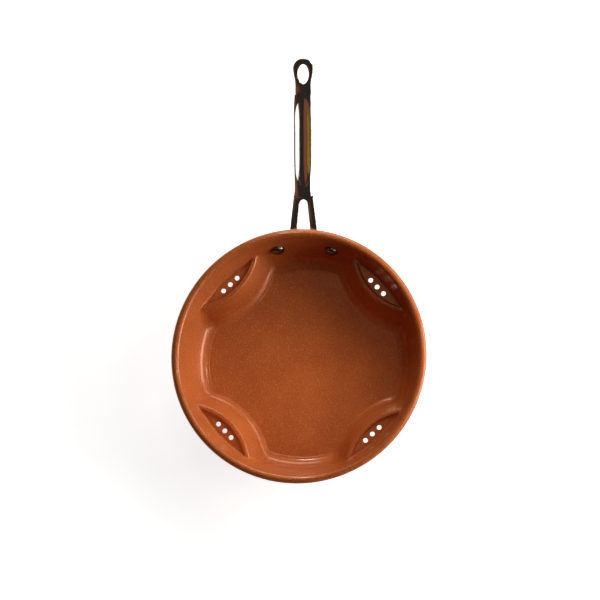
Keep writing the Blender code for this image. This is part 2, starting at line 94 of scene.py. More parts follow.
# Each station of the grip: share of its length from the fork, half width, half height
GRIP_STATIONS = (
    (0.00, 0.0099, 0.0058),
    (0.055, 0.0091, 0.0058),
    (0.10, 0.0091, 0.0060),
    (0.27, 0.0095, 0.0066),
    (0.62, 0.0097, 0.0068),
    (0.93, 0.0095, 0.0063),
    (1.00, 0.0090, 0.0056),
)
# Flecks: cells in a metre, share of the cells that hold a fleck, its radius as a share of a cell
INSIDE_FLECKS = ((1800.0, 0.30, 0.35), (900.0, 0.04, 0.25))
OUTSIDE_FLECKS = ((900.0, 0.12, 0.35),)
# Where the lamps aim, and their tints
PAN_MIDDLE = (0.0, 0.0, 0.03)
PAN_FLOOR = (0.0, -0.035, 0.0)
GRIP = (0.0, 0.20, 0.08)
WHITE = (1.0, 0.98, 0.95)
GLOW = (1.0, 0.84, 0.58)
AMBER = (1.0, 0.66, 0.40)
BROWN = (1.0, 0.29, 0.07)
OLIVE = (0.80, 0.75, 0.05)
# Each lamp: name, place, aim, width, length, tint, whether it lights matt surfaces and whether
# it shows in glossy ones
LAMPS = (
    ("far_lamp", (0.0, 1.0, 0.45), PAN_MIDDLE, 0.6, 0.3, WHITE, True, True),
    ("right_lamp", (1.0, 0.08, 0.38), PAN_MIDDLE, 0.7, 0.4, WHITE, True, True),
    ("corner_lamp", (0.72, 0.72, 0.60), PAN_MIDDLE, 0.4, 0.4, WHITE, True, True),
    ("far_glint", (-0.18, 0.62, 1.00), PAN_MIDDLE, 0.07, 0.07, GLOW, False, True),
    ("right_glint", (0.36, 0.22, 1.12), PAN_MIDDLE, 0.07, 0.07, GLOW, False, True),
    ("strip_lamp", (0.92, -0.38, 0.85), GRIP, 0.40, 0.9, WHITE, False, True),
    ("brown_card", (-0.75, -0.45, 1.15), GRIP, 0.7, 0.9, BROWN, False, True),
    ("olive_card", (-0.72, -0.13, 0.67), GRIP, 0.10, 0.07, OLIVE, False, True),
    ("top_lamp", (0.0, -0.035, 0.26), PAN_FLOOR, 0.08, 0.08, AMBER, True, False),
)


def size(name, default, description):
    """A length in metres."""
    return FloatProperty(
        name=name, description=description, default=default, unit="LENGTH", precision=5
    )


def turn(name, degrees, description):
    """An angle, given in degrees and kept in radians."""
    return FloatProperty(
        name=name, description=description, default=math.radians(degrees), subtype="ANGLE"
    )


def share(name, default, description):
    """A plain number, such as a roughness."""
    return FloatProperty(name=name, description=description, default=default, precision=4)


def colour(name, default, description):
    return FloatVectorProperty(
        name=name, description=description, default=default, subtype="COLOR", size=3, min=0.0, max=1.0
    )


def power(name, watts, description):
    return FloatProperty(name=name, description=description, default=watts, unit="POWER")


class PanSizes(bpy.types.PropertyGroup):
    """The pressed sheet."""

    sheet: size("Sheet", 0.0024, "Thickness of the pan's sheet")
    wall_angle: turn("Wall angle", 73.3, "Angle of the wall to the floor")
    floor_fillet: size("Floor fillet", 0.009, "Radius between the floor and the wall")
    edge_step: size("Edge step", 0.00035, "Height of the fine step round the cooking floor")
    edge_width: size("Edge width", 0.0007, "Width of that step")
    lip_bend: size("Lip bend", 0.0046, "Radius of the rolled lip's upper side")
    lip_turn: turn("Lip turn", 62.0, "How far the lip turns down past its crest")
    plate_bevel: size("Plate bevel", 0.0005, "Bevel on the base plate's edges")
    sections: IntProperty(name="Sections", description="Sections round the pan", default=480)
    inner_rows: IntProperty(name="Inner rows", description="Rows on the cooking side", default=130)
    outer_rows: IntProperty(name="Outer rows", description="Rows on the outside", default=50)
    dense_share: share("Dense share", 0.75, "Share of the sections that lie near the strainers")
    dense_angle: turn("Dense angle", 24.0, "How far from a strainer's middle they lie")


class StrainerSizes(bpy.types.PropertyGroup):
    """A corner strainer: a cone pressed into the wall, a shelf on it and a pocket in the shelf."""

    shelf_depth: size("Shelf depth", 0.022, "Depth of the shelf under the lip's crest")
    bulge_reach: size("Bulge reach", 0.0205, "How far the shelf reaches in from the wall")
    bulge_top_radius: size("Bulge radius", 0.0671, "Radius of the shelf's inner edge")
    bulge_angle: turn("Bulge angle", 67.5, "Angle of the bulge's side to the floor")
    bulge_fillet: size("Bulge fillet", 0.005, "Radius at the foot of the bulge")
    bulge_edge: size("Bulge edge", 0.0014, "Rounding of the shelf's inner edge")
    ridge_width: size("Ridge width", 0.004, "Width of the ridge in front of the pocket")
    ridge_slope: size("Ridge slope", 0.0022, "Width of the step from the ridge to the pocket")
    pocket_step: size("Pocket step", 0.0018, "Height of that step")
    pocket_slope: share("Pocket slope", 0.05, "Fall of the pocket's floor towards the wall")
    pocket_fade: size("Pocket fade", 0.006, "Length over which the pocket closes at its corners")
    pocket_fillet: size("Pocket fillet", 0.0012, "Radius between the pocket and the wall")
    blend_height: size("Blend height", 0.006, "Height over which the fillet widens downwards")
    gutter_width: size("Gutter width", 0.004, "Width of the gutter along the wall")
    gutter_depth: size("Gutter depth", 0.0008, "Depth of the gutter")
    brow_depth: size("Brow depth", 0.0226, "Depth of the lower edge of the drawn-in wall")
    brow_offset: size("Brow offset", 0.0014, "How far the wall over a pocket is drawn in")
    brow_top_depth: size("Brow top", 0.006, "Depth of the top of its arch")
    brow_half_width: size("Brow half width", 0.036, "Half the width of its arch")
    drop_lean: share("Drop lean", 0.30, "Slope of its underside")
    hole_diameter: size("Hole diameter", 0.0049, "Diameter of a drain hole")
    hole_pitch: size("Hole pitch", 0.0095, "Distance between drain holes")
    hole_inset: size("Hole inset", 0.0094, "Distance of the holes from the wall")
    hole_countersink: size("Hole edge", 0.0004, "Width of the broken edge round a hole")


class HandleSizes(bpy.types.PropertyGroup):
    """The rivets, the bracket with its fork, the grip and the hang ring."""

    rise: turn("Rise", 18.5, "Angle at which the handle rises")
    drop: size("Drop", 0.0108, "How far under the lip's crest the handle's line starts")
    gap: size("Gap", 0.0003, "Gap between neighbouring pieces")
    rivet_spacing: size("Rivet spacing", 0.0548, "Distance between the rivets")
    rivet_depth: size("Rivet depth", 0.0235, "Depth of the rivets under the lip's crest")
    rivet_shank: size("Rivet shank", 0.003, "Radius of a rivet's shank")
    rivet_head: size("Rivet head", 0.0071, "Radius of a rivet's head")
    rivet_head_height: size("Rivet head height", 0.0044, "Height of a rivet's head")
    rivet_head_gap: size("Rivet head gap", 0.0006, "Gap under a rivet's head")
    rivet_tail: size("Rivet tail", 0.0055, "Radius of a rivet's tail")
    rivet_tail_height: size("Rivet tail height", 0.0020, "Height of a rivet's tail")
    fork_thickness: size("Fork thickness", 0.006, "Thickness of the fork")
    fork_length: size("Fork length", 0.036, "Length of the fork from the rim")
    fork_bevel: size("Fork bevel", 0.0006, "Rounding of the fork's edges")
    shoulder_length: size("Shoulder length", 0.0023, "Length of the collar before the grip")
    shoulder_half_width: size("Shoulder half width", 0.0102, "Half the width of that collar")
    slot_radius: size("Slot radius", 0.0039, "Radius of the arch at the slot's end")
    slot_crown: size("Slot crown", 0.0039, "Metal between the slot and the grip")
    leg_width: size("Leg width", 0.0071, "Width of a leg")
    leg_splay: turn("Leg splay", 6.2, "Angle of each leg to the handle's line")
    leg_root: size("Leg root", 0.012, "How far the legs run on inside the rim")
    tang_length: size("Tang length", 0.007, "Length of the tangs inside the grip")
    tang_half_width: size("Tang half width", 0.005, "Half the width of a tang")
    saddle_thickness: size("Saddle thickness", 0.0026, "Thickness of the saddle on the wall")
    saddle_top_depth: size("Saddle top", 0.0105, "Depth of the saddle's top edge")
    saddle_height: size("Saddle height", 0.026, "Height of the saddle")
    saddle_margin: size("Saddle margin", 0.0115, "Metal outside each rivet")
    saddle_corner: size("Saddle corner", 0.008, "Radius of the saddle's corners")
    grip_length: size("Grip length", 0.103, "Length of the grip")
    grip_sheet: size("Grip sheet", 0.0014, "Thickness of the grip's shells")
    top_squareness: share("Top squareness", 6.0, "2 is an oval section, more is squarer")
    bottom_squareness: share("Bottom squareness", 2.4, "2 is an oval section, more is squarer")
    groove_depth: size("Groove depth", 0.0030, "Depth of the thumb groove")
    groove_half_width: size("Groove half width", 0.0088, "Half the width of the thumb groove")
    groove_start: share("Groove start", 0.085, "Share of the grip where the groove starts")
    groove_end: share("Groove end", 0.97, "Share of the grip where it ends")
    ring_thickness: size("Ring thickness", 0.005, "Thickness of the hang ring")
    ring_bevel: size("Ring bevel", 0.0006, "Rounding of the hang ring's edges")
    ring_neck_half_width: size("Neck half width", 0.0082, "Half the width of the ring's neck")
    ring_neck_length: size("Neck length", 0.0095, "Length of the ring's neck")
    ring_half_width: size("Ring half width", 0.0104, "Half the width of the ring")
    ring_reach: size("Ring reach", 0.0364, "Length of the ring past the grip")
    eye_half_width: size("Eye half width", 0.00545, "Half the width of the hanging eye")
    eye_half_length: size("Eye half length", 0.0099, "Half the length of the hanging eye")
    eye_centre: size("Eye centre", 0.0204, "Distance of the eye's middle from the grip")


class Finishes(bpy.types.PropertyGroup):
    """Colours and finishes."""

    coating: colour("Coating", (0.60, 0.145, 0.032), "Copper coating where it is light")
    coating_deep: colour("Deep coating", (0.50, 0.115, 0.025), "Copper coating where it is deep")
    # Painted shade: the outside coating is made much darker than the copper inside, so the outside of
    # the sheet and the rim's outer edge look shaded under any lamp.
    painted_shade_outside_coating: colour("Outside coating", (0.22, 0.065, 0.022), "Coating on the outside")
    fleck: colour("Fleck", (0.95, 0.66, 0.22), "Gold flecks in the coating")
    coating_metallic: share("Coating metallic", 0.15, "How metallic the coating is")
    coating_smooth: share("Smooth coating", 0.37, "Roughness of the coating where it is smooth")
    coating_rough: share("Rough coating", 0.48, "Roughness of the coating where it is rough")
    coating_shine: share("Coating shine", 0.18, "Strength of the soft shine of the coating itself")
    coating_coat: share("Coating gloss", 0.4, "Weight of the clear gloss over it")
    gloss_roughness: share("Gloss roughness", 0.10, "Roughness of the clear gloss")
    outside_depth: share("Outside depth", 0.75, "Deepest tone of the outside, as a share of it")
    cloud_scale: share("Cloud scale", 26.0, "Fineness of the coating's cloudy tone")
    tooth_scale: share("Tooth scale", 520.0, "Fineness of the coating's tooth")
    tooth_strength: share("Tooth strength", 0.25, "Strength of the tooth")
    tooth_depth: size("Tooth depth", 0.00008, "Depth of the tooth")
    steel: colour("Steel", (0.58, 0.56, 0.54), "Polished steel of the handle")
    steel_roughness: share("Steel roughness", 0.12, "Roughness of the polished steel")
    steel_spread: share("Steel spread", 0.03, "How far its roughness goes up and down")
    line_scale: share("Line scale", 300.0, "Fineness of the polishing lines")
    line_stretch: share("Line stretch", 0.06, "Fineness of the lines along the handle, as a share")
    line_strength: share("Line strength", 0.06, "Strength of the polishing lines")
    line_depth: size("Line depth", 0.00002, "Depth of the polishing lines")
    # Painted shade: the rivet steel is made very dark, so the heads look as dark as they do in shade
    # rather than like bright steel.
    rivet: colour("Rivet", (0.17, 0.14, 0.12), "Steel of the rivets")
    rivet_roughness: share("Rivet roughness", 0.22, "Roughness of the rivets")
    rivet_spread: share("Rivet spread", 0.05, "How far their roughness goes up and down")
    plate: colour("Plate", (0.52, 0.52, 0.51), "Steel of the base plate")
    plate_smooth: share("Smooth plate", 0.30, "Roughness of the plate where it is smooth")
    plate_rough: share("Rough plate", 0.42, "Roughness of the plate where it is rough")
    ring_scale: share("Ring scale", 240.0, "Fineness of the plate's turned rings")
    ring_strength: share("Ring strength", 0.25, "Strength of the rings")
    ring_depth: size("Ring depth", 0.00005, "Depth of the rings")


class StageLook(bpy.types.PropertyGroup):
    """The floor, the lights and the camera."""

    floor: colour("Floor", (0.86, 0.86, 0.86), "Colour of the floor")
    floor_size: size("Floor size", 6.0, "Half the width of the floor")
    floor_roughness: share("Floor roughness", 0.9, "Roughness of the floor")
    floor_glow: share("Floor glow", 0.95, "How much the floor shines by itself")
    air: share("Air", 0.038, "Brightness of the surroundings")
    air_tint: colour("Air tint", (1.0, 0.76, 0.70), "Tint of the surroundings")
    far_lamp: power("Far lamp", 4.2, "Low lamp beyond the handle")
    right_lamp: power("Right lamp", 9.0, "Low lamp on the right")
    corner_lamp: power("Corner lamp", 2.4, "Lamp beyond the handle on the right")
    far_glint: power("Far glint", 2.2, "Small lamp for thin highlights, beyond the handle")
    right_glint: power("Right glint", 0.9, "Small lamp for thin highlights, on the right")
    strip_lamp: power("Strip lamp", 2.6, "Long lamp that shows in the grip's groove")
    brown_card: power("Brown card", 0.5, "Brown card that shows in the grip's groove")
    olive_card: power("Olive card", 0.010, "Small olive card that shows in the grip's groove")
    top_lamp: power("Top lamp", 0.018, "Low lamp over the pan's floor")
    top_spread: turn("Top lamp spread", 60.0, "Width of the top lamp's beam")
    distance: size("Camera distance", 4.0, "Distance of the camera from the rim's middle")
    aim_height: size("Aim height", 0.0545, "Height that the camera aims at")
    lean_right: share("Lean right", 0.1165, "Sideways part of the camera's direction")
    lean_near: share("Lean near", 0.1374, "Part of its direction away from the handle")
    roll: turn("Roll", 2.01, "Turn of the camera round its own line of sight")
    view_width: size("View width", 0.60684, "Width seen at the aim")
    shift_right: share("Shift right", 0.00258, "Shift of the picture")
    shift_up: share("Shift up", 0.09285, "Shift of the picture")
    clip_end: size("Clip end", 100.0, "How far the camera sees")


class StrainerPanSettings(bpy.types.PropertyGroup):
    """All settings of the pan."""

    pan: PointerProperty(type=PanSizes)
    strainer: PointerProperty(type=StrainerSizes)
    handle: PointerProperty(type=HandleSizes)
    finish: PointerProperty(type=Finishes)
    stage: PointerProperty(type=StageLook)


# Small helpers


def smooth_step(value):
    bounded = np.clip(value, 0.0, 1.0)
    return bounded * bounded * (3.0 - 2.0 * bounded)


def object_from_bmesh(name, bm, place=None):
    """Finish a bmesh as an object at the origin, with its place in its mesh."""
    bmesh.ops.remove_doubles(bm, verts=bm.verts, dist=MERGE_DISTANCE)
    bmesh.ops.recalc_face_normals(bm, faces=bm.faces)
    if place is not None:
        bmesh.ops.transform(bm, matrix=place, verts=bm.verts)
    mesh = bpy.data.meshes.new(name)
    bm.to_mesh(mesh)
    bm.free()
    mesh.shade_smooth()
    mesh.set_sharp_from_angle(angle=SHARP_ANGLE)
    obj = bpy.data.objects.new(name, mesh)
    bpy.context.scene.collection.objects.link(obj)
    return obj


def apply_booleans(obj, tools):
    """Join or cut each (tool, operation) in turn, then drop the tools and mark the sharp edges."""
    for tool, operation in tools:
        modifier = obj.modifiers.new(operation.title(), "BOOLEAN")
        modifier.operation = operation
        modifier.object = tool
        modifier.solver = "EXACT"
    bpy.context.view_layer.update()
    graph = bpy.context.evaluated_depsgraph_get()
    mesh = bpy.data.meshes.new_from_object(obj.evaluated_get(graph))
    obj.modifiers.clear()
    obj.data = mesh
    mesh.shade_smooth()
    mesh.set_sharp_from_angle(angle=SHARP_ANGLE)
    for tool, _ in tools:
        bpy.data.objects.remove(tool, do_unlink=True)


def finish_piece(obj, node, slot, *materials):
    """Give a piece its materials and let it stand for its CAD node."""
    for material in materials:
        obj.data.materials.append(material)
    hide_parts(node)
    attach(obj, "root")


def spin_round(bm, geom, angle, steps, close):
    """Turn geometry about the upright axis; returns what the last step made."""
    return bmesh.ops.spin(
        bm,
        geom=geom,
        axis=(0.0, 0.0, 1.0),
        cent=(0.0, 0.0, 0.0),
        angle=angle,
        steps=steps,
        use_merge=close,
    )["geom_last"]


def add_cone(bm, segments, low_radius, high_radius, low, high):
    """Add a closed cone that stands upright between two heights."""
    bmesh.ops.create_cone(
        bm,
        cap_ends=True,
        segments=segments,
        radius1=low_radius,
        radius2=high_radius,
        depth=high - low,
        matrix=Matrix.Translation((0.0, 0.0, 0.5 * (low + high))),
    )


def quarter_arc(centre, half_width, half_height, steps):
    """Points of a quarter of an oval on the Y axis, from its side to its top."""
    bends = [0.5 * math.pi * step / steps for step in range(steps + 1)]
    return [(half_width * math.cos(bend), centre + half_height * math.sin(bend)) for bend in bends]


def with_mirror(half):
    """Closed outline from its right half, which ends on the Y axis."""
    return half + [(-x, y) for x, y in reversed(half[:-1])]


def spin_profile(profile, steps):
    """Turn a profile of (radius, height) points into a closed surface, rows kept as a layer."""
    bm = bmesh.new()
    row_layer = bm.verts.layers.int.new("row")
    verts = []
    for row, (radius, height) in enumerate(profile):
        vert = bm.verts.new((radius, 0.0, height))
        vert[row_layer] = row
        verts.append(vert)
    edges = [bm.edges.new(pair) for pair in zip(verts, verts[1:])]
    spin_round(bm, verts + edges, 2.0 * math.pi, steps, True)
    return bm, row_layer


# The cooking surface: distances whose zero is the surface, positive in the open


def round_inside(first, second, radius):
    """Union of two solids given by their distances, with a fillet in the corner between them."""
    reach = np.hypot(np.maximum(radius - first, 0.0), np.maximum(radius - second, 0.0))
    return np.maximum(np.minimum(first, second), radius) - reach


def round_outside(first, second, radius):
    """Overlap of two solids given by their distances, with a rounded edge where they meet."""
    return -round_inside(-first, -second, radius)


class CookingSurface:
    """Shape of the sheet at each angle from the middle of a strainer."""

    def __init__(self, pan, strainer):
        self.pan = pan
        self.strainer = strainer
        self.floor_top = PAN_LOW.z + pan.sheet
        self.depth = CREST - self.floor_top
        self.lip_radius = RIM_RADIUS - pan.lip_bend * math.sin(pan.lip_turn)
        self.lip_height = self.depth - pan.lip_bend
        self.bend_radius = self.lip_radius - pan.lip_bend * math.sin(pan.wall_angle)
        self.bend_height = self.lip_height + pan.lip_bend * math.cos(pan.wall_angle)
        self.shelf = self.depth - strainer.shelf_depth
        self.shelf_wall = self.wall_radius(self.shelf)
        self.axis = self.shelf_wall - strainer.bulge_reach + strainer.bulge_top_radius
        self.lens_radius = strainer.bulge_top_radius - strainer.ridge_width
        self.hole_radius = self.shelf_wall - strainer.hole_inset

    def wall_radius(self, height):
        """Radius of the plain wall at a height above the cooking floor."""
        return self.bend_radius + (height - self.bend_height) / math.tan(self.pan.wall_angle)

    def outer_wall_radius(self, height):
        return self.wall_radius(height) + self.pan.sheet / math.sin(self.pan.wall_angle)

    def brow(self, radius, angle, height):
        """How far the wall over a pocket is drawn in: a shallow arch with a short underside."""
        sizes = self.strainer
        across = radius * np.sin(angle) / sizes.brow_half_width
        arch = np.sqrt(np.maximum(1.0 - across * across, 0.0))
        rise = sizes.brow_depth - sizes.brow_top_depth
        bottom = self.depth - sizes.brow_depth
        above = 1.0 - (height - bottom) / (rise * np.maximum(arch, 0.05))
        below = 1.0 - (bottom - height) * sizes.drop_lean / sizes.brow_offset
        return sizes.brow_offset * arch * np.clip(np.minimum(above, below), 0.0, 1.0)

    def shelf_height(self, distance, radius, angle):
        """Height of the shelf: a ridge round the lens and a pocket that falls to a gutter."""
        sizes = self.strainer
        inside = self.lens_radius - distance
        chord = np.sqrt(
            np.maximum(self.lens_radius**2 - (self.axis * np.sin(angle)) ** 2, 0.0)
        )
        lens_width = self.shelf_wall - (self.axis * np.cos(angle) - chord)
        fade = smooth_step(lens_width / sizes.pocket_fade)
        step = sizes.pocket_step * smooth_step(inside / sizes.ridge_slope)
        slope = sizes.pocket_slope * np.maximum(inside, 0.0)
        to_wall = self.shelf_wall - sizes.brow_offset - radius
        gutter = sizes.gutter_depth * smooth_step(1.0 - to_wall / sizes.gutter_width)
        gutter = np.where(inside > 0.0, gutter, 0.0)
        return self.shelf - fade * (step + slope + gutter)

    def edge(self, wall, cone):
        """Height of the floor's edge, a fine step where the fillets begin."""
        to_fillet = np.minimum(wall - self.pan.floor_fillet, cone - self.strainer.bulge_fillet)
        return self.pan.edge_step * smooth_step(0.5 - to_fillet / self.pan.edge_width)

    def gap(self, radius, angle, height):
        """Distance from the cooking surface."""
        sizes = self.strainer
        lean = math.sin(self.pan.wall_angle)
        wall = (self.wall_radius(height) - self.brow(radius, angle, height) - radius) * lean
        along = radius * np.cos(angle) - self.axis
        distance = np.hypot(along, radius * np.sin(angle))
        cone_radius = sizes.bulge_top_radius + (self.shelf - height) / math.tan(sizes.bulge_angle)
        cone = (distance - cone_radius) * math.sin(sizes.bulge_angle)
        over_floor = height - self.edge(wall, cone)
        bowl = round_inside(over_floor, wall, self.pan.floor_fillet)
        shelf = height - self.shelf_height(distance, radius, angle)
        bulge = round_outside(cone, shelf, sizes.bulge_edge)
        low = smooth_step((self.shelf - height) / sizes.blend_height)
        fillet = sizes.pocket_fillet + (sizes.bulge_fillet - sizes.pocket_fillet) * low
        return round_inside(bowl, bulge, fillet)

    def heights(self, radii, angle, level):
        """Height at which the gap equals a level, by halving."""
        low = np.full_like(radii, -2.0 * self.pan.sheet)
        high = np.full_like(radii, self.bend_height)
        for _ in range(HALVINGS):
            middle = 0.5 * (low + high)
            under = self.gap(radii, angle, middle) < level
            low = np.where(under, middle, low)
            high = np.where(under, high, middle)
        return 0.5 * (low + high)

    def lip(self, bend):
        """Points of the lip's round, from the wall over the crest to the free edge."""
        turns = np.linspace(-self.pan.wall_angle, self.pan.lip_turn, LIP_POINTS)
        return np.column_stack(
            (self.lip_radius + bend * np.sin(turns), self.lip_height + bend * np.cos(turns))
        )

    def side(self, angle, offset):
        """Finely sampled section of one side of the sheet, from the axis to the lip's edge."""
        last = self.bend_radius + offset * math.sin(self.pan.wall_angle)
        radii = np.linspace(0.0, last, SECTION_SAMPLES)
        heights = self.heights(radii, angle, -offset)
        line = np.column_stack((radii, heights))
        return np.vstack((line[:-1], self.lip(self.pan.lip_bend - offset)))

    def section(self, angle):
        """Closed section of the sheet at an angle, cooking side first."""
        inner = share_out(self.side(angle, 0.0), self.pan.inner_rows)
        outer = share_out(self.side(angle, self.pan.sheet), self.pan.outer_rows)
        return np.vstack((inner, outer[::-1])) + (0.0, self.floor_top)


def share_out(line, rows):
    """Points along a line, closer together where it turns and far apart over the floor."""
    turn_weight = 0.012
    floor_weight = 0.15
    steps = np.diff(line, axis=0)
    lengths = np.hypot(steps[:, 0], steps[:, 1])
    directions = np.unwrap(np.arctan2(steps[:, 1], steps[:, 0]))
    turning = np.abs(np.gradient(directions))
    weights = np.where(line[1:, 0] < PLATE_RADIUS, floor_weight, 1.0)
    measure = np.concatenate(([0.0], np.cumsum(lengths * weights + turn_weight * turning)))
    wanted = np.linspace(0.0, measure[-1], rows)
    return np.column_stack([np.interp(wanted, measure, line[:, column]) for column in (0, 1)])


def strainer_angle(index, pan):
    """Angle of a section from its nearest strainer, with sections closer round the pockets."""
    per_side = pan.sections // (2 * STRAINER_COUNT)
    part = abs((index + per_side) % (2 * per_side) - per_side) / per_side
    if part <= pan.dense_share:
        return pan.dense_angle * part / pan.dense_share
    rest = (part - pan.dense_share) / (1.0 - pan.dense_share)
    return pan.dense_angle + (math.pi / STRAINER_COUNT - pan.dense_angle) * rest


def section_angle(index, pan):
    """Angle of a section round the pan."""
    per_strainer = pan.sections // STRAINER_COUNT
    nearest = (index + per_strainer // 2) // per_strainer
    side = 1.0 if index >= nearest * per_strainer else -1.0
    middle = math.pi / STRAINER_COUNT + nearest * 2.0 * math.pi / STRAINER_COUNT
    return middle + side * strainer_angle(index, pan)


def shape_sheet(bm, row_layer, surface):
    """Send each point of the turned sheet to its place on the section at its angle."""
    pan = surface.pan
    step = 2.0 * math.pi / pan.sections
    shapes = {}
    for vert in bm.verts:
        index = round(math.atan2(vert.co.y, vert.co.x) / step) % pan.sections
        bend = round(strainer_angle(index, pan), 9)
        if bend not in shapes:
            shapes[bend] = surface.section(bend)
        radius, height = shapes[bend][vert[row_layer]]
        angle = section_angle(index, pan)
        vert.co = (radius * math.cos(angle), radius * math.sin(angle), height)


def drain_tool(surface):
    """Pins for all drain holes, flared at the top to break each hole's edge."""
    sizes = surface.strainer
    hole = 0.5 * sizes.hole_diameter
    bm = bmesh.new()
    for strainer in range(STRAINER_COUNT):
        angle = (strainer + 0.5) * 2.0 * math.pi / STRAINER_COUNT
        for number in range(DRAIN_HOLES):
            across = (number - 0.5 * (DRAIN_HOLES - 1)) * sizes.hole_pitch
            radius = math.hypot(surface.hole_radius, across)
            bend = math.atan2(across, surface.hole_radius)
            height = float(surface.heights(np.array([radius]), bend, 0.0)[0])
            place = Matrix.Rotation(angle, 4, "Z") @ Matrix.Translation(
                (surface.hole_radius, across, surface.floor_top + height)
            )
            flare = sizes.hole_countersink
            profile = (
                (0.0, DRAIN_PIN_REACH),
                (hole + 3.0 * flare, DRAIN_PIN_REACH),
                (hole + 3.0 * flare, 2.0 * flare),
                (hole, -flare),
                (hole, -DRAIN_PIN_REACH),
                (0.0, -DRAIN_PIN_REACH),
            )
            pin, _ = spin_profile(profile, HOLE_SEGMENTS)
            bmesh.ops.remove_doubles(pin, verts=pin.verts, dist=MERGE_DISTANCE)
            bmesh.ops.transform(pin, matrix=place, verts=pin.verts)
            mesh = bpy.data.meshes.new("pin")
            pin.to_mesh(mesh)
            pin.free()
            bm.from_mesh(mesh)
            bpy.data.meshes.remove(mesh)
    return object_from_bmesh("drain_hole_tool", bm)


# Shader node groups


def shader_group(name, inputs, outputs):
    """An empty node group with its sockets; inputs are (name, type, default)."""
    tree = bpy.data.node_groups.new(name, "ShaderNodeTree")
    for label, kind, default in inputs:
        socket = tree.interface.new_socket(label, in_out="INPUT", socket_type=kind)
        if default is not None:
            socket.default_value = default
    for label, kind in outputs:
        tree.interface.new_socket(label, in_out="OUTPUT", socket_type=kind)
    entry = tree.nodes.new("NodeGroupInput")
    leave = tree.nodes.new("NodeGroupOutput")
    return tree, entry.outputs, leave.inputs


def add_node(tree, kind, **settings):
    """A node with its properties and, for names that aren't properties, its inputs set."""
    node = tree.nodes.new(kind)
    for name, value in settings.items():
        if hasattr(node, name):
            setattr(node, name, value)
        else:
            node.inputs[name.replace("_", " ").title()].default_value = value
    return node


def fleck_group():
    """Scattered round flecks: a mask, and a tone that differs from fleck to fleck."""
    tree, entry, leave = shader_group(
        "Flecks",
        [
            ("Vector", "NodeSocketVector", None),
            ("Scale", "NodeSocketFloat", 600.0),
            ("Share", "NodeSocketFloat", 0.2),
            ("Size", "NodeSocketFloat", 0.35),
        ],
        [("Mask", "NodeSocketFloat"), ("Tone", "NodeSocketFloat")],
    )
    link = tree.links.new
    cells = add_node(tree, "ShaderNodeTexVoronoi", feature="F1")
    link(entry["Vector"], cells.inputs["Vector"])
    link(entry["Scale"], cells.inputs["Scale"])
    split = add_node(tree, "ShaderNodeSeparateColor")
    link(cells.outputs["Color"], split.inputs["Color"])
    chosen = add_node(tree, "ShaderNodeMath", operation="LESS_THAN")
    link(split.outputs["Red"], chosen.inputs[0])
    link(entry["Share"], chosen.inputs[1])
    near = add_node(tree, "ShaderNodeMath", operation="LESS_THAN")
    link(cells.outputs["Distance"], near.inputs[0])
    link(entry["Size"], near.inputs[1])
    mask = add_node(tree, "ShaderNodeMath", operation="MULTIPLY")
    link(chosen.outputs[0], mask.inputs[0])
    link(near.outputs[0], mask.inputs[1])
    link(mask.outputs[0], leave["Mask"])
    link(split.outputs["Green"], leave["Tone"])
    return tree


def mottle_group():
    """Soft cloudy variation between two values, and the same as a shallow bump."""
    tree, entry, leave = shader_group(
        "Mottle",
        [
            ("Vector", "NodeSocketVector", None),
            ("Scale", "NodeSocketFloat", 40.0),
            ("Low", "NodeSocketFloat", 0.0),
            ("High", "NodeSocketFloat", 1.0),
            ("Bump", "NodeSocketFloat", 0.1),
            ("Depth", "NodeSocketFloat", 0.0001),
        ],
        [("Value", "NodeSocketFloat"), ("Normal", "NodeSocketVector")],
    )
    link = tree.links.new
    noise = add_node(tree, "ShaderNodeTexNoise", detail=4.0)
    link(entry["Vector"], noise.inputs["Vector"])
    link(entry["Scale"], noise.inputs["Scale"])
    spread = add_node(tree, "ShaderNodeMapRange", from_min=0.3, from_max=0.7)
    link(noise.outputs["Fac"], spread.inputs["Value"])
    link(entry["Low"], spread.inputs["To Min"])
    link(entry["High"], spread.inputs["To Max"])
    bump = add_node(tree, "ShaderNodeBump")
    link(entry["Bump"], bump.inputs["Strength"])
    link(entry["Depth"], bump.inputs["Distance"])
    link(noise.outputs["Fac"], bump.inputs["Height"])
    link(spread.outputs["Result"], leave["Value"])
    link(bump.outputs["Normal"], leave["Normal"])
    return tree


def new_material(name, base, metallic, coat=0.0, coat_roughness=0.1):
    """A material with its even values set straight on the shader."""
    material = bpy.data.materials.new(name)
    material.use_nodes = True
    shader = material.node_tree.nodes["Principled BSDF"]
    shader.inputs["Base Color"].default_value = (*base, 1.0)
    shader.inputs["Metallic"].default_value = metallic
    shader.inputs["Coat Weight"].default_value = coat
    shader.inputs["Coat Roughness"].default_value = coat_roughness
    material.diffuse_color = (*base, 1.0)
    return material, material.node_tree, shader


def place_group(tree, group, vector, **values):
    """A node group in a material, with its own values."""
    node = tree.nodes.new("ShaderNodeGroup")
    node.node_tree = group
    tree.links.new(vector, node.inputs["Vector"])
    for name, value in values.items():
        node.inputs[name].default_value = value
    return node


